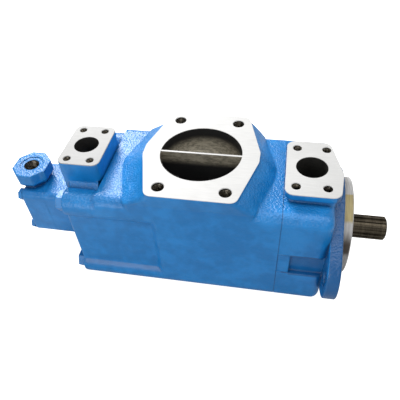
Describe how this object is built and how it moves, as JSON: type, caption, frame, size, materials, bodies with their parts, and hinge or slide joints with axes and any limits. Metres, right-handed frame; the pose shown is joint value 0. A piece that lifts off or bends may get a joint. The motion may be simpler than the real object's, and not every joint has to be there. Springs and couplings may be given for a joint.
{
  "type": "hydraulic vane pump",
  "caption": "Triple hydraulic vane pump: two large vane cartridges on one splined shaft with a common top inlet, and a small pump driven through the rear end.",
  "frame": {"origin": "centre of the pilot at the mounting face, on the shaft axis", "axes": "+X along the shaft, out of the mounting face towards the driver; +Z towards the ports on top; +Y to the left side seen from the driver"},
  "size_m": [0.5041, 0.22, 0.1814],
  "materials": {
    "casting_paint": "satin enamel over rough cast iron, machined port faces bare",
    "screw_paint": "forged hex screws painted over with the castings",
    "shaft_steel": "hardened alloy steel, dark and oiled",
    "ground_steel": "ground and lapped steel",
    "bronze": "machined bearing bronze",
    "seal_rubber": "smooth black nitrile"
  },
  "bodies": {
    "housing": {"shaft_end_body": "casting_paint", "inlet_body": "casting_paint", "cover_end_body": "casting_paint", "rear_pump_body": "casting_paint", "rear_pump_cover": "casting_paint", "tie_screws": "screw_paint", "rear_pump_screws": "screw_paint", "body_o_rings": "seal_rubber", "shaft_seal": "seal_rubber", "bearing_outer_race": "ground_steel", "bearing_snap_ring": "ground_steel", "shaft_bush": "bronze", "rear_shaft_bush": "bronze", "front_cam_ring": "ground_steel", "front_pressure_plate": "ground_steel", "front_inlet_plate": "ground_steel", "front_side_plates": "bronze", "cover_cam_ring": "ground_steel", "cover_pressure_plate": "ground_steel", "cover_inlet_plate": "ground_steel", "cover_side_plates": "bronze", "rear_cam_ring": "ground_steel", "rear_pressure_plate": "ground_steel", "rear_inlet_plate": "ground_steel", "rear_side_plates": "bronze", "front_locating_pins": "ground_steel", "cover_locating_pins": "ground_steel"},
    "shaft": {"drive_shaft": "shaft_steel", "bearing_inner_race": "ground_steel", "drive_coupling": "shaft_steel", "rear_shaft": "shaft_steel", "front_rotor": "ground_steel", "cover_rotor": "ground_steel", "rear_rotor": "ground_steel", "rear_vanes": "ground_steel"},
    "bearing_cage": {"bearing_balls": "ground_steel", "bearing_cage": "bronze"},
    "front_vane_01": {"front_vane_01": "ground_steel"},
    "front_vane_02": {"front_vane_02": "ground_steel"},
    "front_vane_03": {"front_vane_03": "ground_steel"},
    "front_vane_04": {"front_vane_04": "ground_steel"},
    "front_vane_05": {"front_vane_05": "ground_steel"},
    "front_vane_06": {"front_vane_06": "ground_steel"},
    "front_vane_07": {"front_vane_07": "ground_steel"},
    "front_vane_08": {"front_vane_08": "ground_steel"},
    "front_vane_09": {"front_vane_09": "ground_steel"},
    "front_vane_10": {"front_vane_10": "ground_steel"},
    "cover_vane_01": {"cover_vane_01": "ground_steel"},
    "cover_vane_02": {"cover_vane_02": "ground_steel"},
    "cover_vane_03": {"cover_vane_03": "ground_steel"},
    "cover_vane_04": {"cover_vane_04": "ground_steel"},
    "cover_vane_05": {"cover_vane_05": "ground_steel"},
    "cover_vane_06": {"cover_vane_06": "ground_steel"},
    "cover_vane_07": {"cover_vane_07": "ground_steel"},
    "cover_vane_08": {"cover_vane_08": "ground_steel"},
    "cover_vane_09": {"cover_vane_09": "ground_steel"},
    "cover_vane_10": {"cover_vane_10": "ground_steel"}
  },
  "joints": [
    {"name": "shaft_spin", "type": "hinge", "parent": "housing", "child": "shaft", "pos_m": [0, 0, 0], "axis": [1, 0, 0], "continuous": true},
    {"name": "cage_spin", "type": "hinge", "parent": "housing", "child": "bearing_cage", "pos_m": [0, 0, 0], "axis": [1, 0, 0], "continuous": true},
    {"name": "front_vane_01_slide", "type": "slide", "parent": "shaft", "child": "front_vane_01", "axis": [0, 0.9511, 0.309], "range_m": [-0.0012, 0.00043]},
    {"name": "front_vane_02_slide", "type": "slide", "parent": "shaft", "child": "front_vane_02", "axis": [0, 0.5878, 0.809], "range_m": [-0.0012, 0.00343]},
    {"name": "front_vane_03_slide", "type": "slide", "parent": "shaft", "child": "front_vane_03", "axis": [0, 0, 1], "range_m": [-0.0012, 0.00608]},
    {"name": "front_vane_04_slide", "type": "slide", "parent": "shaft", "child": "front_vane_04", "axis": [0, -0.5878, 0.809], "range_m": [-0.0012, 0.00343]},
    {"name": "front_vane_05_slide", "type": "slide", "parent": "shaft", "child": "front_vane_05", "axis": [0, -0.9511, 0.309], "range_m": [-0.0012, 0.00043]},
    {"name": "front_vane_06_slide", "type": "slide", "parent": "shaft", "child": "front_vane_06", "axis": [0, -0.9511, -0.309], "range_m": [-0.0012, 0.00043]},
    {"name": "front_vane_07_slide", "type": "slide", "parent": "shaft", "child": "front_vane_07", "axis": [0, -0.5878, -0.809], "range_m": [-0.0012, 0.00343]},
    {"name": "front_vane_08_slide", "type": "slide", "parent": "shaft", "child": "front_vane_08", "axis": [0, 0, -1], "range_m": [-0.0012, 0.00608]},
    {"name": "front_vane_09_slide", "type": "slide", "parent": "shaft", "child": "front_vane_09", "axis": [0, 0.5878, -0.809], "range_m": [-0.0012, 0.00343]},
    {"name": "front_vane_10_slide", "type": "slide", "parent": "shaft", "child": "front_vane_10", "axis": [0, 0.9511, -0.309], "range_m": [-0.0012, 0.00043]},
    {"name": "cover_vane_01_slide", "type": "slide", "parent": "shaft", "child": "cover_vane_01", "axis": [0, 0.9511, 0.309], "range_m": [-0.0012, 0.00038]},
    {"name": "cover_vane_02_slide", "type": "slide", "parent": "shaft", "child": "cover_vane_02", "axis": [0, 0.5878, 0.809], "range_m": [-0.0012, 0.00288]},
    {"name": "cover_vane_03_slide", "type": "slide", "parent": "shaft", "child": "cover_vane_03", "axis": [0, 0, 1], "range_m": [-0.0012, 0.00508]},
    {"name": "cover_vane_04_slide", "type": "slide", "parent": "shaft", "child": "cover_vane_04", "axis": [0, -0.5878, 0.809], "range_m": [-0.0012, 0.00288]},
    {"name": "cover_vane_05_slide", "type": "slide", "parent": "shaft", "child": "cover_vane_05", "axis": [0, -0.9511, 0.309], "range_m": [-0.0012, 0.00038]},
    {"name": "cover_vane_06_slide", "type": "slide", "parent": "shaft", "child": "cover_vane_06", "axis": [0, -0.9511, -0.309], "range_m": [-0.0012, 0.00038]},
    {"name": "cover_vane_07_slide", "type": "slide", "parent": "shaft", "child": "cover_vane_07", "axis": [0, -0.5878, -0.809], "range_m": [-0.0012, 0.00288]},
    {"name": "cover_vane_08_slide", "type": "slide", "parent": "shaft", "child": "cover_vane_08", "axis": [0, 0, -1], "range_m": [-0.0012, 0.00508]},
    {"name": "cover_vane_09_slide", "type": "slide", "parent": "shaft", "child": "cover_vane_09", "axis": [0, 0.5878, -0.809], "range_m": [-0.0012, 0.00288]},
    {"name": "cover_vane_10_slide", "type": "slide", "parent": "shaft", "child": "cover_vane_10", "axis": [0, 0.9511, -0.309], "range_m": [-0.0012, 0.00038]}
  ],
  "couplings": [
    {"joint": "cage_spin", "follows": "shaft_spin", "ratio": 0.4}
  ]
}
